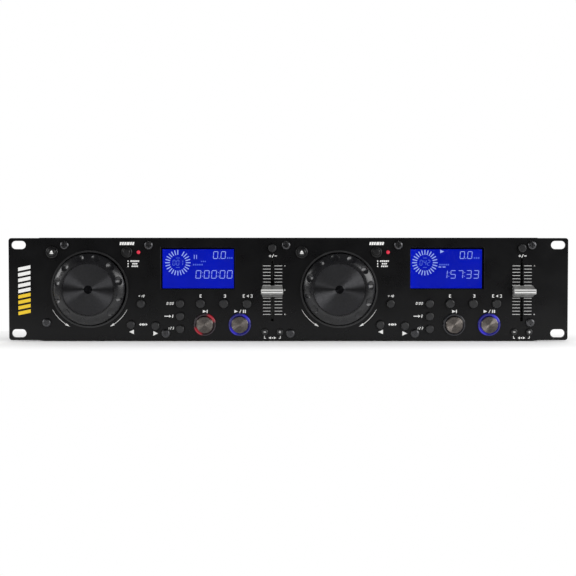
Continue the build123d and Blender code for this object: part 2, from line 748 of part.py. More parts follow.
# ---- Pitch fader
def fader_bodies():
    """The steel channels of the slide controls, open to the front along a slot for the lever."""
    front = board_front - channel_depth
    inner_w = channel_w - 2 * channel_wall
    inner_h = channel_length - 2 * channel_wall
    body = block(channel_w, channel_length, front, board_front)
    body -= block(inner_w, inner_h, front + channel_wall, board_front - channel_wall)
    body -= block(lever_t + 2 * slot_side_gap, fader_slot_h, front, front + channel_wall)
    return [Pos(x0 + fader_dx, 0, fader_z) * body for x0 in jog_x.values()]


def fader_lever(deck):
    """The carriage in the channel and the flat lever that comes out through the panel."""
    carriage_w = channel_w - 2 * (channel_wall + carriage_gap)
    carriage = block(carriage_w, carriage_h, carriage_y, carriage_rear)
    lever_front = knob_rear - knob_socket_depth
    lever = block(lever_t, lever_h, lever_front, carriage_y)
    return Pos(jog_x[deck] + fader_dx, 0, fader_z + fader_rest) * (carriage + lever)


def fader_knob(deck):
    """The knob: two hollow finger faces with a flat ridge between them, on a short straight skirt."""
    front = knob_rear - knob_length
    shoulder = knob_rear - knob_skirt
    half_h = knob_h / 2
    ridge = knob_ridge_h / 2
    middle_y = (front + shoulder) / 2
    middle_z = (half_h + ridge) / 2 - knob_scoop
    lower = Line((knob_rear, -half_h), (shoulder, -half_h))
    lower += ThreePointArc((shoulder, -half_h), (middle_y, -middle_z), (front, -ridge))
    upper = Line((front, -ridge), (front, ridge))
    upper += ThreePointArc((front, ridge), (middle_y, middle_z), (shoulder, half_h))
    back = Line((shoulder, half_h), (knob_rear, half_h)) + Line((knob_rear, half_h), (knob_rear, -half_h))
    profile = make_face(lower + upper + back)
    knob = extrude(Plane.YZ * profile, amount=knob_w / 2, both=True)
    side = knob_w / 2
    rear_side = knob_rear_w / 2
    plan = Polyline((-rear_side, knob_rear), (-side, front), (side, front), (rear_side, knob_rear), close=True)
    knob &= extrude(make_face(plan), amount=half_h, both=True)
    knob = fillet(knob.edges().filter_by(Axis.X), knob_edge_r)
    socket_t = lever_t + 2 * knob_socket_fit
    socket_h = lever_h + 2 * knob_socket_fit
    socket_end = knob_rear - knob_socket_depth - knob_socket_fit
    knob -= block(socket_t, socket_h, socket_end, knob_rear)
    return Pos(jog_x[deck] + fader_dx, 0, fader_z + fader_rest) * knob


# ---- Link sockets
def link_sockets():
    """Round multi-pin sockets: a body inside the cover and a nose through it, grooved for the plug."""
    nose_end = cover_rear + socket_nose_proud
    body = block(socket_w, socket_h, case_depth - socket_depth, case_depth)
    body += disc(socket_nose_r, case_depth, nose_end)
    groove = Circle(socket_groove_r) - Circle(socket_core_r)
    body -= slab(groove, nose_end - socket_groove_depth, nose_end)
    for i in range(socket_pins):
        turn = 360 * i / socket_pins
        x = socket_pin_circle * cos(radians(turn))
        z = socket_pin_circle * sin(radians(turn))
        body -= disc(socket_pin_r, nose_end - socket_groove_depth / 2, nose_end, x, z)
    return [Pos(x, 0, socket_z) * body for x in socket_x.values()]


def link_harness():
    """A flat ribbon from the rear of each socket down to its header, with a bend at each step."""
    start = (case_depth - socket_depth, 0)
    end = (board_rear + header_depth, -header_drop)
    mid_y = (start[0] + end[0]) / 2
    route = FilletPolyline(start, (mid_y, 0), (mid_y, -header_drop), end, radius=ribbon_bend_r)
    ribbon = extrude(Plane.YZ * trace(route, line_width=ribbon_t), amount=ribbon_w / 2, both=True)
    return [Pos(x, 0, socket_z) * ribbon for x in socket_x.values()]


def main():
    os.makedirs("parts", exist_ok=True)
    write("front_panel", front_panel())
    write("case_shell", case_shell())
    write("rear_cover", rear_cover())
    write("base_pads", *base_pads())
    write("screws", *panel_screws(), *small_screws())
    write("board_standoffs", *board_standoffs())
    write("control_board", *control_board())
    write("tact_switches", *tact_switches())
    write("jog_bezels", *jog_bezels())
    write("jog_bases", *jog_bases())
    write("display_windows", *display_windows())
    write("display_glasses", *display_glasses())
    write("display_modules", *display_modules())
    write("fader_bodies", *fader_bodies())
    write("light_rings", *light_rings())
    write("mode_lamps", *mode_lamps())
    write("link_sockets", *link_sockets())
    write("link_harness", *link_harness())
    for deck in jog_x:
        write(f"jog_wheel_{deck}", jog_wheel(deck))
        write(f"jog_face_{deck}", jog_face(deck))
        write(f"encoder_disc_{deck}", encoder_disc(deck))
        write(f"fader_lever_{deck}", fader_lever(deck))
        write(f"fader_knob_{deck}", fader_knob(deck))
        for name, x, z, cap_r, style in button_list(deck):
            write(f"{name}_button_{deck}", Pos(x, 0, z) * small_button(cap_r, style))
        for name, x, z in big_button_list(deck):
            write(f"{name}_button_{deck}", Pos(x, 0, z) * big_button())


main()
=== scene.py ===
import math

import bmesh
import bpy
from bpy.props import FloatProperty, FloatVectorProperty, IntProperty, PointerProperty, StringProperty
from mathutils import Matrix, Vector


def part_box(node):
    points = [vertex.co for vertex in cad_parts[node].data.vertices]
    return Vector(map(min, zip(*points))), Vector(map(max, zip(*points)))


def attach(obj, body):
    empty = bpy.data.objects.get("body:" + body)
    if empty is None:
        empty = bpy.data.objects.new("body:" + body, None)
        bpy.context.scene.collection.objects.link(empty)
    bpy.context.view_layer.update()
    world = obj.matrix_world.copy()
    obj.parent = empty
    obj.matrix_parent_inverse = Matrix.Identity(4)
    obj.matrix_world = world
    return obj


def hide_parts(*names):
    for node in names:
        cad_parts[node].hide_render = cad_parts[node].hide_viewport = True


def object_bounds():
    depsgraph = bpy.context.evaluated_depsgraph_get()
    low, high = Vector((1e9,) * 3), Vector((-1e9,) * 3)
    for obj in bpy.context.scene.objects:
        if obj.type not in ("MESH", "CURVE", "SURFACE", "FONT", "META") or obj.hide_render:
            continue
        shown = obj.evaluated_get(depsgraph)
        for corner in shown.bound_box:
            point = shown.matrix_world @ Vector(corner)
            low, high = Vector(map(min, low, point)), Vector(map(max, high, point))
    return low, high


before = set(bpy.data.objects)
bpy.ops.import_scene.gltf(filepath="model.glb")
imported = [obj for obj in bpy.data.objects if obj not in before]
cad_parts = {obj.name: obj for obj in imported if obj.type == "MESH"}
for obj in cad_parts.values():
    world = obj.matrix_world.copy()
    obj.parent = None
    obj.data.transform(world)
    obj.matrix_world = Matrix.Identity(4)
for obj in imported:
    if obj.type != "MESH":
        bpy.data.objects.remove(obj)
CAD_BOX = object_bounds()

bl_info = {
    "name": "Twin Disc Player Control Unit",
    "version": (1, 0, 0),
    "blender": (4, 5, 0),
    "location": "View3D > Sidebar > Control Unit",
    "description": "Dresses a two-deck rack control unit: finishes, printing, displays and studio",
    "category": "Object",
}

MM = 0.001
DECKS = ("left", "right")
SMALL_CAPS = (
    "skip_ten", "track_back", "track_next", "time", "single", "program", "loop_in", "loop_out", "reloop",
    "pitch", "bend_minus", "bend_plus",
)
MIX_A, MIX_B, MIX_OUT = 6, 7, 2     # the sockets of a Mix node that hold colours
NOISE_RANGE = {1: 0.3, 2: 0.7}      # nearly all of a noise's values lie between these


# ---- Places, read from the frame
def centre(node):
    """The middle of a node's box."""
    low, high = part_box(node)
    return (low + high) / 2


def front_of(node):
    """How far forward a node reaches, as Y."""
    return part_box(node)[0].y


def deck_side(node, deck):
    """The box of one deck's solid in a node that holds a solid for each deck, left and right of x = 0."""
    way = -1 if deck == "left" else 1
    points = [v.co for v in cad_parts[node].data.vertices if v.co.x * way > 0]
    return Vector(map(min, zip(*points))), Vector(map(max, zip(*points)))


# ---- Finishes
def linear(hex_colour):
    """An sRGB hex colour as linear red, green, blue."""
    parts = [int(hex_colour[i:i + 2], 16) / 255 for i in (0, 2, 4)]
    return tuple(p / 12.92 if p <= 0.04045 else ((p + 0.055) / 1.055) ** 2.4 for p in parts)


def rgba(hex_colour):
    return (*linear(hex_colour), 1.0)


def add(tree, kind, inputs=None, **settings):
    """Adds a node with its settings. An input is given by name or number, and its value or the socket that
    feeds it."""
    made = tree.nodes.new(kind)
    for key, value in settings.items():
        setattr(made, key, value)
    for key, value in (inputs or {}).items():
        if isinstance(value, bpy.types.NodeSocket):
            tree.links.new(value, made.inputs[key])
        else:
            made.inputs[key].default_value = value
    return made


def calc(tree, operation, *values):
    """The result of a sum on values or sockets."""
    return add(tree, "ShaderNodeMath", dict(enumerate(values)), operation=operation).outputs[0]


def blend(tree, factor, first, second):
    """The colour between two colours, each given as linear RGBA or as a socket."""
    mix = add(tree, "ShaderNodeMix", {0: factor, MIX_A: first, MIX_B: second}, data_type="RGBA")
    return mix.outputs[MIX_OUT]


def xyz(tree, vector):
    """The three sockets of a vector."""
    return add(tree, "ShaderNodeSeparateXYZ", {0: vector}).outputs


def material(name, hex_colour, roughness, **sockets):
    """A new material with one Principled shader. Its constants stand on the shader's own sockets."""
    made = bpy.data.materials.new(name)
    made.use_nodes = True
    tree = made.node_tree
    shader = tree.nodes["Principled BSDF"]
    shader.inputs["Base Color"].default_value = rgba(hex_colour)
    shader.inputs["Roughness"].default_value = roughness
    for key, value in sockets.items():
        shader.inputs[key.replace("_", " ").title().replace("Ior", "IOR")].default_value = value
    return made, tree, shader


def place(tree, at=(0, 0, 0)):
    """Coordinates in metres from a point of the frame."""
    where = add(tree, "ShaderNodeTexCoord")
    shift = add(tree, "ShaderNodeVectorMath", {0: where.outputs["Object"], 1: at}, operation="SUBTRACT")
    return shift.outputs[0]


def grain(tree, shader, size, depth, detail=2.0):
    """A fine uneven surface: lumps of that size and depth, in metres."""
    noise = add(tree, "ShaderNodeTexNoise", {"Vector": place(tree), "Scale": 1 / size, "Detail": detail})
    bump = add(tree, "ShaderNodeBump", {"Height": noise.outputs[0], "Distance": depth, "Strength": 1.0})
    tree.links.new(bump.outputs[0], shader.inputs["Normal"])


def patches(tree, shader, size, rough, colours=None):
    """Slow changes over the surface: roughness between two values, and colour between two hex colours."""
    noise = add(tree, "ShaderNodeTexNoise", {"Vector": place(tree), "Scale": 1 / size, "Detail": 3.0})
    level = {0: noise.outputs[0], **NOISE_RANGE}
    spread = add(tree, "ShaderNodeMapRange", {**level, 3: rough[0], 4: rough[1]})
    tree.links.new(spread.outputs[0], shader.inputs["Roughness"])
    if colours:
        fade = add(tree, "ShaderNodeMapRange", level).outputs[0]
        tree.links.new(blend(tree, fade, *map(rgba, colours)), shader.inputs["Base Color"])


def dress(made, *nodes):
    """Gives CAD nodes their finish."""
    for name in nodes:
        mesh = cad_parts[name].data
        mesh.materials.clear()
        mesh.materials.append(made)


def powder_coat(name, dark, light, rough, shine=0.5):
    """Black powder coat on sheet steel, sprayed and baked: satin, with a fine orange-peel skin.
    The skin's real lumps are about 0.4 mm; they are drawn at 0.9 mm so that they show."""
    made, tree, shader = material(name, dark, rough[0], specular_ior_level=shine)
    patches(tree, shader, 18 * MM, rough, (dark, light))
    grain(tree, shader, 0.9 * MM, 0.012 * MM)
    return made


def steel(name, hex_colour, rough):
    """Plated or blackened steel, turned or stamped: metallic, with fine draw marks that break up glints."""
    made, tree, shader = material(name, hex_colour, rough[0], metallic=1.0)
    patches(tree, shader, 3 * MM, rough)
    grain(tree, shader, 0.5 * MM, 0.006 * MM)
    return made


def moulded(name, dark, light, rough, skin=0.6, depth=0.006):
    """Injection-moulded plastic with a spark-eroded skin: satin, lighter where hands have polished it."""
    made, tree, shader = material(name, dark, rough[0], ior=1.54)
    patches(tree, shader, 6 * MM, rough, (dark, light))
    grain(tree, shader, skin * MM, depth * MM)
    return made


def ink(name, hex_colour):
    """Silk-screened epoxy ink: opaque and matt, slightly uneven from the mesh it was pushed through."""
    made, tree, shader = material(name, hex_colour, 0.5)
    patches(tree, shader, 2 * MM, (0.45, 0.6))
    grain(tree, shader, 0.25 * MM, 0.002 * MM)
    return made


def segment(name, hex_colour):
    """Liquid-crystal segments over a backlight: dark bodies that light shines through."""
    return material(name, "101010", 0.3, emission_color=rgba(hex_colour), emission_strength=1.0)[0]


# ---- Shapes: flat pieces lie in the X-Z plane and are closed prisms
def new_piece(name, bm, made, body, smooth=False, at=(0, 0, 0)):
    """Turns a bmesh into a piece that rides on a body."""
    bmesh.ops.recalc_face_normals(bm, faces=bm.faces)
    mesh = bpy.data.meshes.new(name)
    bm.to_mesh(mesh)
    bm.free()
    mesh.materials.append(made)
    for face in mesh.polygons:
        face.use_smooth = smooth
    piece = bpy.data.objects.new(name, mesh)
    bpy.context.scene.collection.objects.link(piece)
    piece.location = at
    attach(piece, body)
    return piece


def prism(bm, outline, y0, y1):
    """A closed prism over an outline of (x, z) points."""
    front = [bm.verts.new((x, y0, z)) for x, z in outline]
    back = [bm.verts.new((x, y1, z)) for x, z in outline]
    bm.faces.new(front)
    bm.faces.new(back[::-1])
    count = len(outline)
    for i in range(count):
        j = (i + 1) % count
        bm.faces.new((front[j], front[i], back[i], back[j]))


def band(bm, inner, outer, y0, y1):
    """A closed strip between two rows of (x, z) points."""
    rows = [[bm.verts.new((x, y, z)) for x, z in row] for y in (y0, y1) for row in (inner, outer)]
    in_front, out_front, in_back, out_back = rows
    last = len(inner) - 1
    for i in range(last):
        j = i + 1
        bm.faces.new((in_front[i], out_front[i], out_front[j], in_front[j]))
        bm.faces.new((in_back[j], out_back[j], out_back[i], in_back[i]))
        bm.faces.new((out_front[i], out_back[i], out_back[j], out_front[j]))
        bm.faces.new((in_front[j], in_back[j], in_back[i], in_front[i]))
    for i in (0, last):
        bm.faces.new((in_front[i], in_back[i], out_back[i], out_front[i]))


def arc(start, end, steps):
    """Points on a circle of radius 1, from one angle to another, in degrees from +X towards +Z."""
    turns = [math.radians(start + (end - start) * i / steps) for i in range(steps + 1)]
    return [(math.cos(t), math.sin(t)) for t in turns]


def lathe(bm, profile, steps):
    """Turns a closed profile of (radius, y) points about the Y axis."""
    rings = []
    for i in range(steps):
        turn = 2 * math.pi * i / steps
        rings.append([bm.verts.new((r * math.cos(turn), y, r * math.sin(turn))) for r, y in profile])
    count = len(profile)
    for i in range(steps):
        a, b = rings[i], rings[(i + 1) % steps]
        for j in range(count):
            k = (j + 1) % count
            bm.faces.new((a[j], a[k], b[k], b[j]))


def bar(x, z, width, height, slant=0.0):
    """An upright rectangle as (x, z) points, leaning to the right by slant times its height."""
    lean = slant * height / 2
    left, right, low, high = x - width / 2, x + width / 2, z - height / 2, z + height / 2
    return [(left - lean, low), (right - lean, low), (right + lean, high), (left + lean, high)]


def triangle(x, z, width, height, way):
    """A triangle that points to +X for way 1 and to -X for way -1."""
    back, tip = x - way * width / 2, x + way * width / 2
    return [(back, z - height / 2), (tip, z), (back, z + height / 2)]


# The bars that each figure lights: top, upper left, upper right, middle, lower left, lower right, bottom
FIGURES = {
    "0": "1110111", "1": "0010010", "2": "1011101", "3": "1011011", "4": "0111010", "5": "1101011",
    "6": "1101111", "7": "1010010", "8": "1111111", "9": "1111011", "+": "",
}


def figure(sign, x, z, width, height, stroke, slant, gap=0.0):
    """A figure in seven bars with mitred ends, as a list of outlines. x, z is its middle."""
    w, h, s = width / 2 - stroke / 2, height / 2 - stroke / 2, stroke / 2
    ends = {
        0: ((-w, h), (w, h)), 1: ((-w, 0), (-w, h)), 2: ((w, 0), (w, h)), 3: ((-w, 0), (w, 0)),
        4: ((-w, -h), (-w, 0)), 5: ((w, -h), (w, 0)), 6: ((-w, -h), (w, -h)),
    }
    shapes = []
    for i, lit in enumerate(FIGURES[sign]):
        if lit == "0":
            continue
        (x0, z0), (x1, z1) = ends[i]
        if z0 == z1:
            a, b = x0 + gap, x1 - gap
            points = [(a, z0), (a + s, z0 - s), (b - s, z0 - s), (b, z0), (b - s, z0 + s), (a + s, z0 + s)]
        else:
            a, b = z0 + gap, z1 - gap
            points = [(x0, a), (x0 + s, a + s), (x0 + s, b - s), (x0, b), (x0 - s, b - s), (x0 - s, a + s)]
        shapes.append([(x + px + slant * pz, z + pz) for px, pz in points])
    if sign == "+":
        shapes += [bar(x, z, width, stroke), bar(x, z, stroke, width, slant)]
    return shapes


def figures(text, x, z, width, height, stroke, slant, step, narrow, gap=0.0):
    """A row of figures whose middle is x, z. A sign takes the room step, a colon or point takes narrow."""
    steps = [narrow if sign in ":." else step for sign in text]
    at = x - sum(steps) / 2
    shapes = []
    for sign, room in zip(text, steps):
        here = at + room / 2
        at += room
        if sign == ":":
            for up in (-0.22, 0.22):
                shapes.append(bar(here + slant * up * height, z + up * height, stroke, stroke))
        elif sign == ".":
            low = z - height / 2 + stroke / 2
            shapes.append(bar(here - slant * height / 2, low, stroke, stroke))
        else:
            shapes += figure(sign, here, z, width, height, stroke, slant, gap)
    return shapes


# ---- What a user would change
class PrintSettings(bpy.types.PropertyGroup):
    thickness: FloatProperty(
        name="Ink thickness", description="How far the printing stands proud", default=0.03 * MM,
        subtype="DISTANCE", unit="LENGTH", precision=5,
    )
    slant: FloatProperty(name="Slant", description="Lean of the marks, as run over rise", default=0.22)
    mark_height: FloatProperty(
        name="Mark height", description="Height of the marks beside the buttons", default=2.6 * MM,
        subtype="DISTANCE", unit="LENGTH", precision=5,
    )
    arc_radius: FloatProperty(
        name="Arrow radius", description="Radius of the curved arrows round a wheel", default=36.7 * MM,
        subtype="DISTANCE", unit="LENGTH", precision=5,
    )


class DisplaySettings(bpy.types.PropertyGroup):
    left_time: StringProperty(name="Left time", description="Figures on the left display", default="0:00:00")
    right_time: StringProperty(
        name="Right time", description="Figures on the right display", default="1:57:33",
    )
    left_track: StringProperty(name="Left track", description="Track number, left deck", default="001")
    right_track: StringProperty(name="Right track", description="Track number, right deck", default="042")
    field: FloatVectorProperty(
        name="Backlight", description="Colour of the lit field", subtype="COLOR", size=3,
        default=linear("0214ac"),
    )
    ring_bars: IntProperty(
        name="Ring bars", description="Bars in the ring round the track number", default=24,
    )


class StudioSettings(bpy.types.PropertyGroup):
    distance: FloatProperty(
        name="Camera distance", description="From the camera to the panel", default=1.075, subtype="DISTANCE",
        unit="LENGTH",
    )
    elevation: FloatProperty(
        name="Camera elevation", description="Angle above level", default=math.radians(2.2), subtype="ANGLE",
        unit="ROTATION",
    )
    lens: FloatProperty(name="Lens", description="Focal length in millimetres", default=77.86)
    key: FloatProperty(name="Right softbox", description="Its power in watts", default=18.0)
    strip: FloatProperty(name="Left strip softbox", description="Its power in watts", default=0.9)
    fill: FloatProperty(name="Left side softbox", description="Its power in watts", default=4.5)
    ceiling: FloatProperty(name="Top softbox", description="Its power in watts", default=5.0)
    ambient: FloatProperty(name="Ambient", description="Strength of the light from all round", default=0.68)


class Step:
    """What the operators share."""
    bl_options = {"REGISTER", "UNDO"}


# ---- Metal parts
class UNIT_OT_sheet_metal(Step, bpy.types.Operator):
    """Finish the panel, the case and the rear cover"""
    bl_idname = "unit.sheet_metal"
    bl_label = "Sheet metal"

    def execute(self, context):
        dress(powder_coat("panel_powder_coat", "0c0c0d", "101011", (0.26, 0.32), 0.25), "front_panel")
        dress(powder_coat("case_powder_coat", "1a1a1b", "202022", (0.45, 0.58)), "case_shell", "rear_cover")
        return {"FINISHED"}


class UNIT_OT_hardware(Step, bpy.types.Operator):
    """Finish the screws, the standoffs and the fader channels"""
    bl_idname = "unit.hardware"
    bl_label = "Screws and hardware"

    def execute(self, context):
        dress(steel("black_oxide_steel", "5a5a5c", (0.3, 0.42)), "screws")
        dress(steel("zinc_plated_steel", "b9bcc0", (0.25, 0.4)), "board_standoffs")
        dress(steel("steel_channel", "6e6e6c", (0.35, 0.5)), "fader_bodies")
        dress(steel("nickel_plated_lever", "8c8a86", (0.25, 0.35)), "fader_lever_left", "fader_lever_right")
        return {"FINISHED"}


# ---- Plastics
class UNIT_OT_plastics(Step, bpy.types.Operator):
    """Finish the moulded parts: bezels, bases, switches, sockets, ribbons and small buttons"""
    bl_idname = "unit.plastics"
    bl_label = "Moulded parts"

    def execute(self, context):
        # Moulded rubber pads: matt, a little grey where they have picked up dust
        dress(moulded("pad_rubber", "141415", "1e1e1f", (0.75, 0.9), 0.8, 0.02), "base_pads")
        dress(moulded("bezel_abs", "232324", "2b2b2c", (0.3, 0.4)), "jog_bezels")
        dress(moulded("base_abs", "161617", "1b1b1c", (0.45, 0.6)), "jog_bases")
        dress(moulded("switch_nylon", "1c1c1d", "232324", (0.4, 0.5)), "tact_switches")
        dress(moulded("socket_nylon", "121213", "18181a", (0.35, 0.5)), "link_sockets")
        dress(moulded("ribbon_vinyl", "8c8e92", "9a9ca0", (0.4, 0.5), 1.27, 0.05), "link_harness")
        dress(moulded("encoder_polyester", "0c0c0d", "101012", (0.2, 0.3)), "encoder_disc_left",
              "encoder_disc_right")
        caps = moulded("button_abs", "1b1b1c", "222223", (0.3, 0.42), 0.5, 0.005)
        dress(caps, *[f"{name}_button_{deck}" for name in SMALL_CAPS for deck in DECKS])
        rimmed = moulded("rimmed_button_abs", "131314", "19191a", (0.3, 0.4), 0.5, 0.005)
        dress(rimmed, *[f"{name}_button_{deck}" for name in ("eject", "mode") for deck in DECKS])
        return {"FINISHED"}


def board_material(board_rear):
    """Glass-epoxy board under green solder mask: glossy, with copper tracks that show as lighter lines.
    Everything behind its rear face is the black epoxy and nylon of the parts soldered to it."""
    made, tree, shader = material("solder_mask_board", "0c3a22", 0.3)
    x, y, z = xyz(tree, place(tree))
    flat = add(tree, "ShaderNodeCombineXYZ", {0: x, 1: z}).outputs[0]
    tracks = add(tree, "ShaderNodeTexBrick", {
        "Vector": flat, "Scale": 1 / (7 * MM), "Mortar Size": 0.04, "Color1": rgba("0c3a22"),
        "Color2": rgba("0e4328"), "Mortar": rgba("2b6b45"),
    }).outputs[0]
    behind = calc(tree, "GREATER_THAN", y, board_rear + 0.1 * MM)
    tree.links.new(blend(tree, behind, tracks, rgba("141416")), shader.inputs["Base Color"])
    return made


class UNIT_OT_electronics(Step, bpy.types.Operator):
    """Finish the circuit board with its chips and headers"""
    bl_idname = "unit.electronics"
    bl_label = "Circuit board"

    def execute(self, context):
        board_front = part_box("control_board")[0].y
        board_thickness = 1.6 * MM
        dress(board_material(board_front + board_thickness), "control_board")
        dress(moulded("module_polycarbonate", "202022", "26262a", (0.4, 0.5)), "display_modules")
        return {"FINISHED"}


# ---- Jog wheels
def wheel_material():
    """Black ABS polished with the mould: glossy, so it carries sharp reflections of the softboxes."""
    made, tree, shader = material("polished_abs", "141416", 0.3, ior=1.54)
    patches(tree, shader, 9 * MM, (0.22, 0.3), ("121214", "18181a"))
    grain(tree, shader, 5 * MM, 0.02 * MM, 1.0)
    return made


def turned(name, node, colours, roughness, step, hollow=0.0):
    """Aluminium turned on a lathe and anodised: metallic, with light drawn out across its rings. Colours are
    painted shade and painted highlight for the two sides of a tool mark:
    along the rings the metal is drawn darker and lighter where light would miss and catch the marks. Hollow
    is the radius of a dark pressed middle.
    The tool's real marks are about 0.2 mm apart; step is how far apart they are drawn, so that they show."""
    made, tree, shader = material(
        name, colours[0], roughness, metallic=1.0, anisotropic=1.0, anisotropic_rotation=0.25,
    )
    way = add(tree, "ShaderNodeTangent", direction_type="RADIAL", axis="Y")
    tree.links.new(way.outputs[0], shader.inputs["Tangent"])
    where = place(tree, centre(node))
    marks = add(
        tree, "ShaderNodeTexWave", {"Vector": where, "Scale": math.pi / (10 * step)}, wave_type="RINGS",
        rings_direction="Y",
    ).outputs[1]
    bump = add(tree, "ShaderNodeBump", {"Height": marks, "Distance": 0.01 * MM, "Strength": 0.6})
    tree.links.new(bump.outputs[0], shader.inputs["Normal"])
    uneven = add(tree, "ShaderNodeTexNoise", {"Vector": where, "Scale": 1 / (1.5 * MM), "Detail": 3.0})
    # Painted highlight and shade: the metal's colour goes lighter and darker along the tool marks' rings.
    metal = blend(tree, calc(tree, "MULTIPLY", marks, uneven.outputs[0]), *map(rgba, colours))
    across = add(tree, "ShaderNodeVectorMath", {0: where, 1: (1, 0, 1)}, operation="MULTIPLY")
    radius = add(tree, "ShaderNodeVectorMath", {0: across.outputs[0]}, operation="LENGTH")
    outside = calc(tree, "GREATER_THAN", radius.outputs[1], hollow)
    tree.links.new(blend(tree, outside, rgba("1c1c1e"), metal), shader.inputs["Base Color"])
    return made


class UNIT_OT_jog_wheels(Step, bpy.types.Operator):
    """Finish the wheels and their turned face discs"""
    bl_idname = "unit.jog_wheels"
    bl_label = "Jog wheels"

    def execute(self, context):
        polished = wheel_material()
        colours, mark, hollow = ("464648", "5e5e60"), 0.9 * MM, 3.6 * MM
        for deck in DECKS:
            dress(polished, f"jog_wheel_{deck}")
            face = f"jog_face_{deck}"
            dress(turned(f"turned_anodised_{deck}", face, colours, 0.36, mark, hollow), face)
        return {"FINISHED"}


# ---- Cue and play
def ring_material(name, deep, hot, strength):
    """Polycarbonate light pipe, moulded clear and polished. Its lamps stand at 45 and 225 degrees and it
    glows most there. Deep is the colour between the lamps, hot the colour over them."""
    made, tree, shader = material(name, "1c1c20", 0.15, ior=1.58, emission_strength=strength)
    x, y, z = xyz(tree, add(tree, "ShaderNodeTexCoord").outputs["Object"])
    wave = calc(tree, "SINE", calc(tree, "MULTIPLY", calc(tree, "ARCTAN2", z, x), 2.0))
    near = add(tree, "ShaderNodeMapRange", {0: wave, 1: 0.25, 2: 1.0}, interpolation_type="SMOOTHSTEP")
    tree.links.new(blend(tree, near.outputs[0], rgba(deep), rgba(hot)), shader.inputs["Emission Color"])
    return made


class UNIT_OT_cue_and_play(Step, bpy.types.Operator):
    """Finish the cue and play buttons and make a light ring round each"""
    bl_idname = "unit.cue_and_play"
    bl_label = "Cue and play"

    def execute(self, context):
        looks = {
            ("left", "cue"): ("120204", "981626", 1.0),
            ("left", "play"): ("0c0860", "241cac", 1.0),
            # The right cue ring's lamps are off: its faint grey glow is painted light.
            ("right", "cue"): ("101012", "161618", 0.4),
            ("right", "play"): ("0c086c", "2820b8", 1.0),
        }
        ring_low, ring_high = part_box("light_rings")
        outer_r = self.ring_radius()
        for (deck, name), (deep, hot, strength) in looks.items():
            cap = f"{name}_button_{deck}"
            metal = turned(f"turned_cap_{name}_{deck}", cap, ("524d4a", "beb6ae"), 0.34, 0.7 * MM)
            dress(metal, cap)
            middle = centre(cap)
            made = ring_material(f"light_pipe_{name}_{deck}", deep, hot, strength)
            self.ring(name, deck, (middle.x, 0, middle.z), outer_r, ring_low.y, ring_high.y, made)
        return {"FINISHED"}

    def ring_radius(self):
        """Outer radius of a ring's flange, from how far the rings reach up from the cue buttons' middle."""
        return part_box("light_rings")[1].z - centre("cue_button_left").z

    def ring(self, name, deck, at, outer_r, front, back, made):
        """One ring: a rounded flange on the panel, and a collar through it."""
        cap_flange, cap_fit, collar_wall = 1.2 * MM, 0.3 * MM, 1.25 * MM
        chamfer, edge_r = 0.15 * MM, 0.7 * MM
        panel_front = front_of("front_panel")
        low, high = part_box(f"{name}_button_{deck}")
        inner_r = (high.x - low.x) / 2 - cap_flange + cap_fit
        collar_r = inner_r + collar_wall
        profile = [(inner_r, back), (inner_r, front + chamfer), (inner_r + chamfer, front)]
        for turn in [math.radians(degrees) for degrees in range(0, 91, 15)]:
            profile.append((outer_r - edge_r * (1 - math.sin(turn)), front + edge_r * (1 - math.cos(turn))))
        profile += [(outer_r, panel_front), (collar_r, panel_front), (collar_r, back)]
        bm = bmesh.new()
        lathe(bm, profile, steps=96)
        piece = new_piece(f"light_ring_{name}_{deck}", bm, made, "chassis", smooth=True, at=at)
        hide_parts("light_rings")


class UNIT_OT_lamps(Step, bpy.types.Operator):
    """Light the mode lamps"""
    bl_idname = "unit.lamps"
    bl_label = "Mode lamps"

    def execute(self, context):
        # Red-tinted epoxy over a lit chip: the dome glows nearly pink where the chip shines through
        glow = {"emission_color": rgba("e8354f"), "emission_strength": 0.75}
        dress(material("red_epoxy_lamp", "5a0810", 0.12, ior=1.53, **glow)[0], "mode_lamps")
        return {"FINISHED"}


# ---- Displays
# Where things stand on a display, in millimetres to the right of and below the opening's upper left corner
DISPLAY_PLACES = {
    "left": {"ring": (14.3, 13.1), "state": (29.5, 8.1), "pitch": (50.3, 6.5), "percent": (59.2, 9.0),
             "play_mode": (32.0, 14.8), "source": (36.0, 12.0), "clock": (45.6, 23.2)},
    "right": {"ring": (12.7, 13.1), "state": (29.5, 8.1), "pitch": (48.3, 6.5), "percent": (57.4, 9.0),
              "play_mode": (29.7, 14.8), "clock": (43.5, 23.2)},
}
# Figures: width, height, stroke, slant, room for a figure, room for a colon or point, gap between segments
TRACK_FIGURES = (2.5 * MM, 5.0 * MM, 0.55 * MM, 0.08, 3.3 * MM, MM, 0.1 * MM)
PITCH_FIGURES = (4.2 * MM, 6.5 * MM, 0.52 * MM, 0.08, 5.45 * MM, 1.1 * MM, 0.12 * MM)
CLOCK_FIGURES = (4.6 * MM, 7.1 * MM, 0.52 * MM, 0.08, 6.36 * MM, 0.85 * MM, 0.12 * MM)
# How far the lit field stops short of the opening, in millimetres: at its left, right, lower and upper edge
# The upper margin is mostly painted shadow: the dark glass shows where the panel's upper edge would shade the
# field, which glows and takes no shadow.
FIELD_MARGINS = {"left": (1.1, 0.8, 0.3, 1.5), "right": (0.3, 1.5, 0.3, 1.5)}
# How far before the glass the front and the back of the lit field and of the segments stand
FIELD_LAYER = (0.06 * MM, 0.02 * MM)
SEGMENT_LAYER = (0.12 * MM, 0.08 * MM)


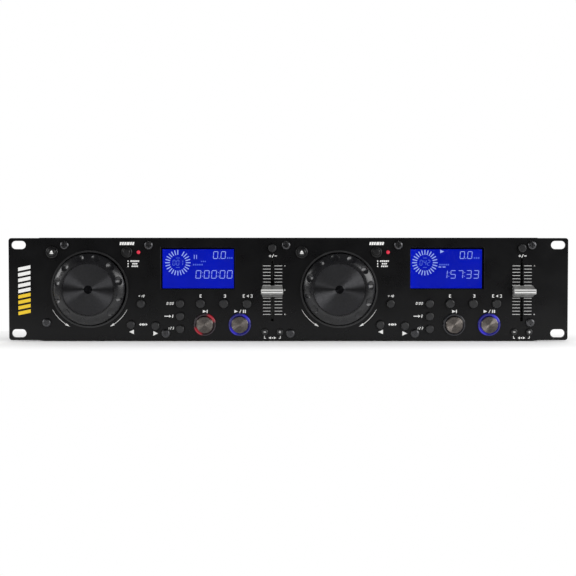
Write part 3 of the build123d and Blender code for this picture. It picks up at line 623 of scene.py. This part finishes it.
class UNIT_OT_displays(Step, bpy.types.Operator):
    """Light the displays: backlit field, ring of bars, track number and time"""
    bl_idname = "unit.displays"
    bl_label = "Displays"

    def execute(self, context):
        # Cast acrylic: clear and polished, it only adds a thin reflection
        clear = material("clear_acrylic", "ffffff", 0.02, ior=1.49, transmission_weight=1.0)
        dress(clear[0], "display_windows")
        # Glass cell with its black mask, seen round the lit field. Along the top the dark glass also stands
        # for the panel edge's shadow: painted shade.
        dress(material("masked_glass", "06070c", 0.08, ior=1.52)[0], "display_glasses")
        looks = context.scene.unit_display
        segments = segment("lit_segments", "9ab0f2")
        pale = segment("dim_segments", "4c66d0")
        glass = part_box("display_glasses")[0].y
        for deck in DECKS:
            low, high = self.opening(deck)
            self.lit_field(deck, low, high, glass, self.field_material(deck, looks, low.x))
            self.marks(deck, low.x, high.z, glass, looks, segments, pale)
        return {"FINISHED"}

    def opening(self, deck):
        """The panel's opening: the glass less its lap behind the panel."""
        low, high = deck_side("display_glasses", deck)
        lap = Vector((0.6 * MM, 0, 0.6 * MM))
        return low + lap, high - lap

    def field_material(self, deck, looks, edge):
        """Backlit liquid crystal: saturated blue, brighter towards the lamps at its left edge."""
        made, tree, shader = material(
            f"backlit_field_{deck}", "010208", 0.3, specular_ior_level=0.15, emission_strength=1.0,
        )
        where = place(tree)
        noise = add(tree, "ShaderNodeTexNoise", {"Vector": where, "Scale": 1 / (25 * MM)}).outputs[0]
        reach = {1: edge, 2: edge + 9 * MM, 3: 0.55, 4: 0.0}
        near = add(tree, "ShaderNodeMapRange", {0: xyz(tree, where)[0], **reach})
        dark, light = [(*[share * c for c in looks.field], 1.0) for share in (0.85, 1.25)]
        level = calc(tree, "ADD", noise, near.outputs[0])
        tree.links.new(blend(tree, level, dark, light), shader.inputs["Emission Color"])
        return made

    def lit_field(self, deck, low, high, glass, made):
        """The lit area, which stops a little short of the opening's edges."""
        left, right, lower, upper = [margin * MM for margin in FIELD_MARGINS[deck]]
        left, right, lower, upper = low.x + left, high.x - right, low.z + lower, high.z - upper
        bm = bmesh.new()
        outline = [(left, lower), (right, lower), (right, upper), (left, upper)]
        prism(bm, outline, *[glass - depth for depth in FIELD_LAYER])
        new_piece(f"lcd_field_{deck}", bm, made, "chassis")

    def marks(self, deck, left, top, glass, looks, segments, pale):
        """The bright and the dim segments of one display."""
        at = {name: (left + x * MM, top - z * MM) for name, (x, z) in DISPLAY_PLACES[deck].items()}

        def row(place, width, height, offsets):
            """A row of bars beside a place, for a small word."""
            x, z = at[place]
            return [bar(x + dx * MM, z, width * MM, height * MM) for dx in offsets]

        bright, dim = [], []
        inner, outer, thick = 6.9 * MM, 11.0 * MM, 0.8 * MM
        gap_turn, gap_half = 75, 6      # the left ring has one bar unlit, at this angle
        x, z = at["ring"]
        for i in range(looks.ring_bars):
            turn = 360 * i / looks.ring_bars
            if deck == "right" or abs(turn - gap_turn) >= gap_half:
                bright.append(self.spoke(x, z, inner, outer, turn, thick))
        track = looks.left_track if deck == "left" else looks.right_track
        dim += figures(track, x, z, *TRACK_FIGURES)
        dim += [bar(x, z + way * 4.1 * MM, 3.2 * MM, 0.5 * MM) for way in (1, -1)]
        x, z = at["state"]
        if deck == "left":
            bright += row("state", 0.5, 3.6, (-1, 1))
        else:
            bright.append(triangle(x - 1.9 * MM, z + 4.7 * MM, 3.4 * MM, 3.0 * MM, 1))
            bright += [bar(x + dx * MM, z - 8.7 * MM, 2.4 * MM, 0.8 * MM) for dx in (-3.8, -0.2)]
        bright += figures("0.0", *at["pitch"], *PITCH_FIGURES)
        dim += row("percent", 1.2, 1.4, (-1.8, 0, 1.8))
        dim += row("play_mode", 1.2, 1.3, (-4, -2.2, -0.4, 1.4, 3.2))
        if deck == "left":
            dim += row("source", 1.0, 1.0, (-1.2, 0.4, 2.0))
        clock = looks.left_time if deck == "left" else looks.right_time
        bright += figures(clock, *at["clock"], *CLOCK_FIGURES)
        for name, shapes, made in (("bright", bright, segments), ("dim", dim, pale)):
            bm = bmesh.new()
            for outline in shapes:
                prism(bm, outline, *[glass - depth for depth in SEGMENT_LAYER])
            new_piece(f"lcd_{name}_{deck}", bm, made, "chassis")

    def spoke(self, x, z, inner, outer, turn, width):
        """One bar of the ring, pointing to its middle."""
        c, s = math.cos(math.radians(turn)), math.sin(math.radians(turn))
        half = width / 2
        return [(x + r * c - side * s, z + r * s + side * c)
                for r, side in ((inner, -half), (outer, -half), (outer, half), (inner, half))]


# ---- Pitch faders
class UNIT_OT_faders(Step, bpy.types.Operator):
    """Finish the fader knobs and print the line on each"""
    bl_idname = "unit.faders"
    bl_label = "Pitch faders"

    def execute(self, context):
        line_dz, ridge_depth, side_margin = -0.45 * MM, 0.15 * MM, 0.45 * MM
        proud, sunk = 0.03 * MM, 0.05 * MM
        left_knob = "fader_knob_left"
        made = self.lacquer(front_of(left_knob) + ridge_depth, centre(left_knob).z + line_dz)
        # Name, ink, height of its middle over the knob's middle, and how thick the line is
        lines = (
            ("knob_line", ink("white_line", "f4f4f2"), line_dz, 0.5 * MM),
            # The grey strip above the white print is painted shade: a dark strip where the ridge's groove is
            # shaded.
            ("knob_edge", ink("grey_line", "2a2a29"), 0.4 * MM, 0.6 * MM),
        )
        for deck in DECKS:
            node = f"fader_knob_{deck}"
            dress(made, node)
            low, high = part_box(node)
            across = high.x - low.x - 2 * side_margin
            for name, colour, dz, thick in lines:
                bm = bmesh.new()
                outline = bar(centre(node).x, centre(node).z + dz, across, thick)
                prism(bm, outline, low.y - proud, low.y + sunk)
                new_piece(f"{name}_{deck}", bm, colour, f"fader_{deck}")
        return {"FINISHED"}

    def lacquer(self, ridge_y, line_z):
        """ABS under silver lacquer: fine metal flake, so its hollow sides go grey where they are shaded. The
        ridge, forward of ridge_y, is painted paler and less metallic above the line printed at line_z: a
        painted highlight where light falls on the ridge's front."""
        made, tree, shader = material("silver_lacquer", "b4b4b2", 0.38, metallic=0.75)
        patches(tree, shader, 1.2 * MM, (0.32, 0.46), ("acacaa", "bebebc"))
        grain(tree, shader, 0.3 * MM, 0.004 * MM)
        x, y, z = xyz(tree, place(tree))
        front = calc(tree, "LESS_THAN", y, ridge_y)
        # Painted highlight: the ridge's front above the printed line is made paler and less metallic.
        ridge = calc(tree, "MULTIPLY", front, calc(tree, "GREATER_THAN", z, line_z))
        metal = add(tree, "ShaderNodeMapRange", {0: ridge, 3: 0.75, 4: 0.15})
        tree.links.new(metal.outputs[0], shader.inputs["Metallic"])
        flake = shader.inputs["Base Color"].links[0].from_socket
        tree.links.new(blend(tree, ridge, flake, rgba("cacac8")), shader.inputs["Base Color"])
        return made


# ---- Printing
# The button that each mark belongs to, and how far right of and above its middle it stands, in millimetres
MARK_PLACES = {
    "title": ("mode", 0, 7.5), "modes": ("mode", 0, 0), "ten": ("skip_ten", 0.4, 6.6),
    "search": ("track_back", 10.6, 0.1), "back": ("track_back", 0.4, -6.3), "next": ("track_next", 0, -6.6),
    "time": ("time", -8.8, 0.2), "single": ("single", -10.0, 0.1), "program": ("program", -8.3, 0.7),
    "loop_in": ("loop_in", 0.5, 6.6), "loop_out": ("loop_out", 0.45, 6.6), "reloop": ("reloop", 0.5, 6.6),
    "cue": ("cue", 0.4, 11.4), "play": ("play", 0.4, 11.4), "pitch": ("pitch", 0.5, -6.7),
}
# The rows of blocks under the mode button: their height over its middle, and the widths of the blocks
MODE_ROWS = ((-7.65, (1.3, 1.3, 1.3, 1.3, 1.0)), (-9.9, (1.2, 1.2, 1.2)), (-12.1, (1.2, 1.2, 1.2, 0.9)))
TICK_COUNT = 16
TICK_STEP = 2.794 * MM
SCALE_HALF = 20.95 * MM     # from the middle of a fader's scale to its end ticks


class UNIT_OT_printing(Step, bpy.types.Operator):
    """Print the marks, scales and arrows on the panel and the signs on the buttons"""
    bl_idname = "unit.printing"
    bl_label = "Printing"

    def execute(self, context):
        looks = context.scene.unit_print
        self.slant = looks.slant
        self.high = looks.mark_height
        self.panel = front_of("front_panel")
        self.proud = looks.thickness
        white = ink("white_screen_ink", "e8e8e6")
        grey = ink("grey_screen_ink", "d2d2d0")
        yellow = ink("yellow_screen_ink", "e9c21c")
        for deck in DECKS:
            shapes = self.deck_marks(deck)
            self.put(f"print_marks_{deck}", shapes, white)
            self.arrows(deck, looks.arc_radius, white)
            self.put(f"print_scale_{deck}", self.scale(deck), grey)
            self.put(f"print_scale_ends_{deck}", self.scale_signs(deck), grey)
            self.button_signs(deck, white)
        upper, lower = self.ear()
        self.put("print_ear_upper", upper, white)
        self.put("print_ear_lower", lower, yellow)
        return {"FINISHED"}

    def layer(self, face):
        """Front and back of the ink on a face, as Y. Its back stands a hair off, so no faces coincide."""
        hair = 0.05 * self.proud
        return face - self.proud, face - hair

    def put(self, name, shapes, made, body="chassis", front=None, slot="panel_enamel"):
        """Prints outlines on a flat front, the panel's if none is given."""
        layer = self.layer(self.panel if front is None else front)
        bm = bmesh.new()
        for outline in shapes:
            prism(bm, outline, *layer)
        new_piece(name, bm, made, body)

    def near(self, node, dx, dz):
        """The x, z of a point given in millimetres from the middle of a node."""
        middle = centre(node)
        return middle.x + dx * MM, middle.z + dz * MM

    def blocks(self, x, z, widths, gap=0.45, height=None):
        """A row of leaning blocks, widths in millimetres, centred on x, z."""
        high = height or self.high
        total = sum(widths) + gap * (len(widths) - 1)
        at = x - total * MM / 2
        shapes = []
        for width in widths:
            shapes.append(bar(at + width * MM / 2, z, width * MM, high, self.slant))
            at += (width + gap) * MM
        return shapes

    def deck_marks(self, deck):
        """Every white mark of a deck that lies flat on the panel."""
        at = {}
        for name, (button, dx, dz) in MARK_PLACES.items():
            at[name] = self.near(f"{button}_button_{deck}", dx, dz)
        shapes = self.blocks(*at["title"], (1.5, 1.5, 1.5, 2.6, 1.5, 1.5))
        x, z = at["modes"]
        for dz, widths in MODE_ROWS:
            shapes.append(bar(x + 0.9 * MM, z + dz * MM, 0.9 * MM, 1.2 * MM))
            shapes += self.blocks(x + 6.7 * MM, z + dz * MM, widths, 0.35, 1.25 * MM)
        shapes += figures("+10", *at["ten"], 1.35 * MM, 2.3 * MM, 0.5 * MM, self.slant, 1.85 * MM, MM)
        x, z = at["search"]
        for dx, way in ((-2.9, -1), (-1.0, -1), (1.0, 1), (2.9, 1)):
            shapes.append(triangle(x + dx * MM, z, 1.7 * MM, 2.4 * MM, way))
        shapes.append(triangle(*at["back"], 4.1 * MM, 3.9 * MM, -1))
        shapes.append(triangle(*at["next"], 4.1 * MM, 3.9 * MM, 1))
        shapes += figures("0:00", *at["time"], 1.35 * MM, 2.4 * MM, 0.45 * MM, self.slant, 1.9 * MM, 0.9 * MM)
        x, z = at["single"]
        shapes += [bar(x - 1.6 * MM, z, 4.4 * MM, 0.7 * MM), triangle(x + 1.3 * MM, z, 1.8 * MM, 2.4 * MM, 1)]
        shapes += [bar(x + 3.4 * MM, z, 0.75 * MM, 2.6 * MM, self.slant)]
        shapes += figures("123", *at["program"], 1.4 * MM, 2.4 * MM, 0.45 * MM, self.slant, 2.05 * MM, MM)
        shapes += self.bracket(*at["loop_in"], 1)
        shapes += self.bracket(*at["loop_out"], -1)
        x, z = at["reloop"]
        shapes += self.bracket(x - 2.9 * MM, z, 1) + self.bracket(x + 2.9 * MM, z, -1)
        shapes += [triangle(x, z, 1.9 * MM, 2.4 * MM, -1)]
        x, z = at["cue"]
        shapes += [triangle(x - 0.6 * MM, z, 3.0 * MM, 2.7 * MM, 1), bar(x + 1.6 * MM, z, 0.8 * MM, 2.7 * MM)]
        x, z = at["play"]
        shapes += [triangle(x - 3.6 * MM, z, 3.0 * MM, 2.7 * MM, 1), bar(x, z, 0.6 * MM, 2.9 * MM, 0.5)]
        shapes += [bar(x + dx * MM, z, 0.9 * MM, 2.7 * MM) for dx in (2.7, 4.3)]
        x, z = at["pitch"]
        shapes += figure("+", x - 2.4 * MM, z, 2.0 * MM, 2.4 * MM, 0.6 * MM, 0)
        shapes += [bar(x, z, 0.55 * MM, 2.7 * MM, 0.5), bar(x + 2.4 * MM, z, 2.0 * MM, 0.6 * MM)]
        return shapes + self.bend_marks(deck)

    def bend_marks(self, deck):
        """Two corners, two arrowheads and a point below the bend buttons."""
        minus = centre(f"bend_minus_button_{deck}")
        x0 = (minus.x + centre(f"bend_plus_button_{deck}").x) / 2
        corner_z, arrow_z = minus.z - 4.7 * MM, minus.z - 5.2 * MM
        shapes = []
        for way in (-1, 1):
            x = x0 + way * 6.9 * MM
            shapes.append(bar(x, corner_z, 0.5 * MM, 2.2 * MM))
            shapes.append(bar(x - way * 0.75 * MM, corner_z - 0.85 * MM, 1.1 * MM, 0.5 * MM))
            shapes.append(triangle(x0 + way * 2.3 * MM, arrow_z, 2.2 * MM, 2.2 * MM, way))
        shapes.append(bar(x0, arrow_z, 1.0 * MM, 1.0 * MM))
        return shapes

    def bracket(self, x, z, way):
        """A square bracket, open to the side that way gives."""
        high, thick = self.high, 0.6 * MM
        back = x - way * 1.0 * MM
        arm_x, arm_dz = back + way * 0.85 * MM, (high - thick) / 2
        arms = [bar(arm_x, z + side * arm_dz, 1.1 * MM, thick) for side in (1, -1)]
        return [bar(back, z, thick, high), *arms]

    def arrows(self, deck, radius, made):
        """The two curved arrows under a wheel. Each widens towards its head."""
        line_start, line_end, head_base, head_tip = 208.7, 236.5, 235.5, 241.8
        half_line, widening, half_head = 0.12 * MM, 0.004 * MM, 0.95 * MM
        middle = centre(f"jog_wheel_{deck}")
        layer = self.layer(self.panel)
        bm = bmesh.new()
        for mirror in (1, -1):
            rows = []
            for side in (-1, 1):
                row = []
                for i, (px, pz) in enumerate(arc(line_start, line_end, 28)):
                    reach = radius + side * (half_line + widening * i)
                    row.append((middle.x + mirror * px * reach, middle.z + pz * reach))
                rows.append(row)
            band(bm, *rows, *layer)
            (ax, az), (bx, bz) = arc(head_base, head_tip, 1)
            head = [(ax * reach, az * reach) for reach in (radius - half_head, radius + half_head)]
            head.append((bx * radius, bz * radius))
            prism(bm, [(middle.x + mirror * px, middle.z + pz) for px, pz in head], *layer)
        new_piece(f"print_arrows_{deck}", bm, made, "chassis")

    def scale(self, deck):
        """The ticks beside a fader's slot."""
        x0, z0 = centre(f"fader_knob_{deck}").x, centre("fader_bodies").z
        shapes = []
        for i in range(TICK_COUNT):
            z = z0 + SCALE_HALF - TICK_STEP * i
            shapes += [bar(x0 + dx * MM, z, 6.6 * MM, 0.4 * MM) for dx in (-4.75, 5.2)]
        return shapes

    def scale_signs(self, deck):
        """Minus, nought and plus to the right of the scale."""
        x0, z0 = centre(f"fader_knob_{deck}").x + 10.8 * MM, centre("fader_bodies").z
        shapes = [bar(x0, z0 + SCALE_HALF, 1.1 * MM, 0.4 * MM)]
        shapes += figure("0", x0, z0, 1.0 * MM, 1.4 * MM, 0.35 * MM, 0)
        shapes += figure("+", x0, z0 - SCALE_HALF, 1.2 * MM, 1.2 * MM, 0.4 * MM, 0)
        return shapes

    def button_signs(self, deck, made):
        """The signs on the eject and bend caps, which ride on their buttons."""
        for name, strokes in (("bend_minus", 1), ("bend_plus", 2)):
            node = f"{name}_button_{deck}"
            middle = centre(node)
            shapes = figure("+", middle.x, middle.z, 1.9 * MM, 1.9 * MM, 0.55 * MM, 0)[:strokes]
            self.put(f"sign_{name}_{deck}", shapes, made, f"{name}_{deck}", front_of(node), "button_plastic")
        node = f"eject_button_{deck}"
        x, z = self.near(node, 0, 0)
        half_w, base_dz, tip_dz = 1.5 * MM, -0.35 * MM, 1.7 * MM
        shapes = [
            [(x - half_w, z + base_dz), (x + half_w, z + base_dz), (x, z + tip_dz)],
            bar(x, z - 1.1 * MM, 2 * half_w, 0.65 * MM),
        ]
        self.put(f"sign_eject_{deck}", shapes, made, f"eject_{deck}", front_of(node), "button_plastic")

    def ear(self):
        """Two stacks of leaning bars on the left ear, one for each ink, from the top down."""
        stack_dx = -227.8 * MM
        x = centre("front_panel").x + stack_dx
        half_w, half_h, half_rise = 5.3 * MM, 1.5 * MM, 1.1 * MM
        top, step, count, white_count = 18.1 * MM, 4.75 * MM, 9, 5
        bars = []
        for i in range(count):
            z = top - step * i
            corners = ((-1, -1), (1, -1), (1, 1), (-1, 1))
            bars.append([(x + side * half_w, z + side * half_rise + up * half_h) for side, up in corners])
        return bars[:white_count], bars[white_count:]


# ---- Studio
# Each softbox's place and size in metres, and the setting that holds its power. All shine at the origin.
SOFTBOXES = {
    "softbox_right": ((1.3, -0.65, 0.48), (1.8, 0.7), "key"),
    "softbox_left": ((-0.95, -0.75, 0.22), (0.8, 0.07), "strip"),
    "softbox_side": ((-1.2, -0.15, 0.42), (0.6, 0.5), "fill"),
    "softbox_top": ((0.1, 0.8, 1.2), (1.3, 0.5), "ceiling"),
}


class UNIT_OT_stage(Step, bpy.types.Operator):
    """Set the floor, the soft lamps and the camera"""
    bl_idname = "unit.stage"
    bl_label = "Studio"

    def execute(self, context):
        looks = context.scene.unit_studio
        self.floor()
        self.drape()
        self.world(looks)
        for name, (at, size, setting) in SOFTBOXES.items():
            self.softbox(name, at, size, getattr(looks, setting))
        self.camera(looks)
        context.scene.view_settings.view_transform = "Standard"
        return {"FINISHED"}

    def floor(self):
        """A plain white sheet under and before the unit. It's lit just white, to join the background."""
        low = CAD_BOX[0].z
        bm = bmesh.new()
        half_w, front, rear = 0.5, -0.3, 0.12
        outline = [(-half_w, front), (half_w, front), (half_w, rear), (-half_w, rear)]
        verts = [bm.verts.new((x, y, low)) for x, y in outline]
        bm.faces.new(verts)
        mesh = bpy.data.meshes.new("floor")
        bm.to_mesh(mesh)
        bm.free()
        floor = bpy.data.objects.new("floor", mesh)
        bpy.context.scene.collection.objects.link(floor)
        mesh.materials.append(material("white_paper", "f6f6f6", 0.9, specular_ior_level=0.0)[0])

    def seen(self, tree):
        """1 for what the camera sees straight, by reflection or through glass, 0 for light on the object."""
        path = add(tree, "ShaderNodeLightPath").outputs
        seen = calc(tree, "MAXIMUM", path["Is Camera Ray"], path["Is Glossy Ray"])
        return calc(tree, "MAXIMUM", seen, path["Is Transmission Ray"])

    def drape(self):
        """A dark cloth round the camera's side of the room and overhead. Only reflections see it: it keeps
        the panel black."""
        bm = bmesh.new()
        bmesh.ops.create_uvsphere(bm, u_segments=48, v_segments=24, radius=2.6)
        front_end, ceiling = 0.05, 1.1
        away = [v for v in bm.verts if v.co.y > front_end and v.co.z < ceiling]
        bmesh.ops.delete(bm, geom=away, context="VERTS")
        mesh = bpy.data.meshes.new("drape")
        bm.to_mesh(mesh)
        bm.free()
        cloth = bpy.data.objects.new("drape", mesh)
        bpy.context.scene.collection.objects.link(cloth)
        mesh.materials.append(material("black_cloth", "303030", 0.9)[0])
        cloth.visible_camera = False
        cloth.visible_diffuse = False
        cloth.visible_shadow = False

    def world(self, looks):
        """White for what is seen, a plain grey level for the light that falls on the object."""
        world = bpy.data.worlds.new("studio")
        bpy.context.scene.world = world
        world.use_nodes = True
        tree = world.node_tree
        tree.nodes.clear()
        light = add(tree, "ShaderNodeBackground", {0: (1, 1, 1, 1), 1: looks.ambient})
        white = add(tree, "ShaderNodeBackground", {0: (1, 1, 1, 1), 1: 1.0})
        mix = add(tree, "ShaderNodeMixShader", {0: self.seen(tree), 1: light.outputs[0], 2: white.outputs[0]})
        add(tree, "ShaderNodeOutputWorld", {0: mix.outputs[0]})

    def softbox(self, name, at, size, power):
        lamp = bpy.data.lights.new(name, "AREA")
        lamp.shape = "RECTANGLE"
        lamp.size, lamp.size_y = size
        lamp.energy = power
        box = bpy.data.objects.new(name, lamp)
        box.location = at
        box.rotation_euler = (-Vector(at)).to_track_quat("-Z", "Y").to_euler()
        bpy.context.scene.collection.objects.link(box)

    def camera(self, looks):
        """A viewpoint nearly level with the unit and straight in front of its panel."""
        panel = front_of("front_panel")
        made = bpy.data.cameras.new("camera")
        made.lens = looks.lens
        made.sensor_width = 36.0
        camera = bpy.data.objects.new("camera", made)
        back, up = looks.distance * math.cos(looks.elevation), looks.distance * math.sin(looks.elevation)
        camera.location = (0.0, panel - back, up)
        aim_x, aim_z = -0.3 * MM, 1.04 * MM
        aim = Vector((aim_x, panel, aim_z))
        camera.rotation_euler = (aim - camera.location).to_track_quat("-Z", "Y").to_euler()
        bpy.context.scene.collection.objects.link(camera)
        bpy.context.scene.camera = camera


STEPS = (
    UNIT_OT_stage, UNIT_OT_sheet_metal, UNIT_OT_hardware, UNIT_OT_plastics, UNIT_OT_electronics,
    UNIT_OT_jog_wheels, UNIT_OT_cue_and_play, UNIT_OT_lamps, UNIT_OT_displays, UNIT_OT_faders,
    UNIT_OT_printing,
)


class UNIT_PT_panel(bpy.types.Panel):
    """Lists the steps that dress the control unit"""
    bl_idname = "UNIT_PT_panel"
    bl_label = "Control Unit"
    bl_space_type = "VIEW_3D"
    bl_region_type = "UI"
    bl_category = "Control Unit"

    def draw(self, context):
        for group in (context.scene.unit_print, context.scene.unit_display, context.scene.unit_studio):
            box = self.layout.box()
            for name in group.__annotations__:
                box.prop(group, name)
        for step in STEPS:
            self.layout.operator(step.bl_idname)


GROUPS = {"unit_print": PrintSettings, "unit_display": DisplaySettings, "unit_studio": StudioSettings}


def register():
    for made in (*GROUPS.values(), *STEPS, UNIT_PT_panel):
        bpy.utils.register_class(made)
    for name, group in GROUPS.items():
        setattr(bpy.types.Scene, name, PointerProperty(type=group))


def unregister():
    for name in GROUPS:
        delattr(bpy.types.Scene, name)
    for made in (UNIT_PT_panel, *STEPS[::-1], *GROUPS.values()):
        bpy.utils.unregister_class(made)


def main():
    register()
    for step in STEPS:
        family, name = step.bl_idname.split(".")
        getattr(getattr(bpy.ops, family), name)()


if __name__ == "__main__":
    main()
